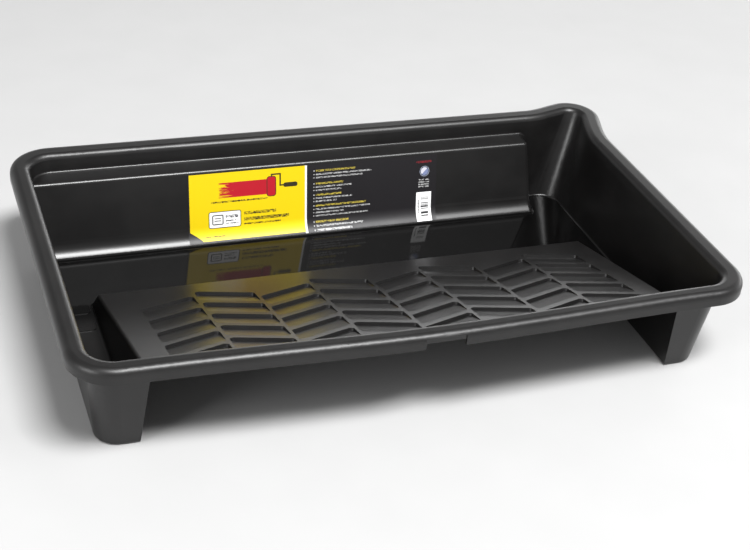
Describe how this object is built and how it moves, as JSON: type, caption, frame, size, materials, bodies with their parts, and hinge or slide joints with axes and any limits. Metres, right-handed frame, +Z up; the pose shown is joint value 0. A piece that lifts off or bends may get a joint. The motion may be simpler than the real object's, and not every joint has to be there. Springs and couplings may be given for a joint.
{
  "type": "paint roller tray",
  "caption": "Wide black plastic paint roller tray with a textured ramp between side channels, a deep well, a pour corner and a label on the back step.",
  "frame": {"origin": "centre of the footprint's bounding box, on the ground plane", "axes": "+X along the tray's width, towards the pour corner side; +Y from the shallow front edge to the deep back; +Z up"},
  "size_m": [0.6416, 0.3995, 0.095],
  "materials": {
    "black_plastic": "satin moulded polypropylene",
    "label_black": "printed film",
    "label_yellow": "printed film"
  },
  "bodies": {
    "root": {"tray_body": "black_plastic", "label_film": "label_black", "label_header": "label_yellow"}
  },
  "joints": []
}
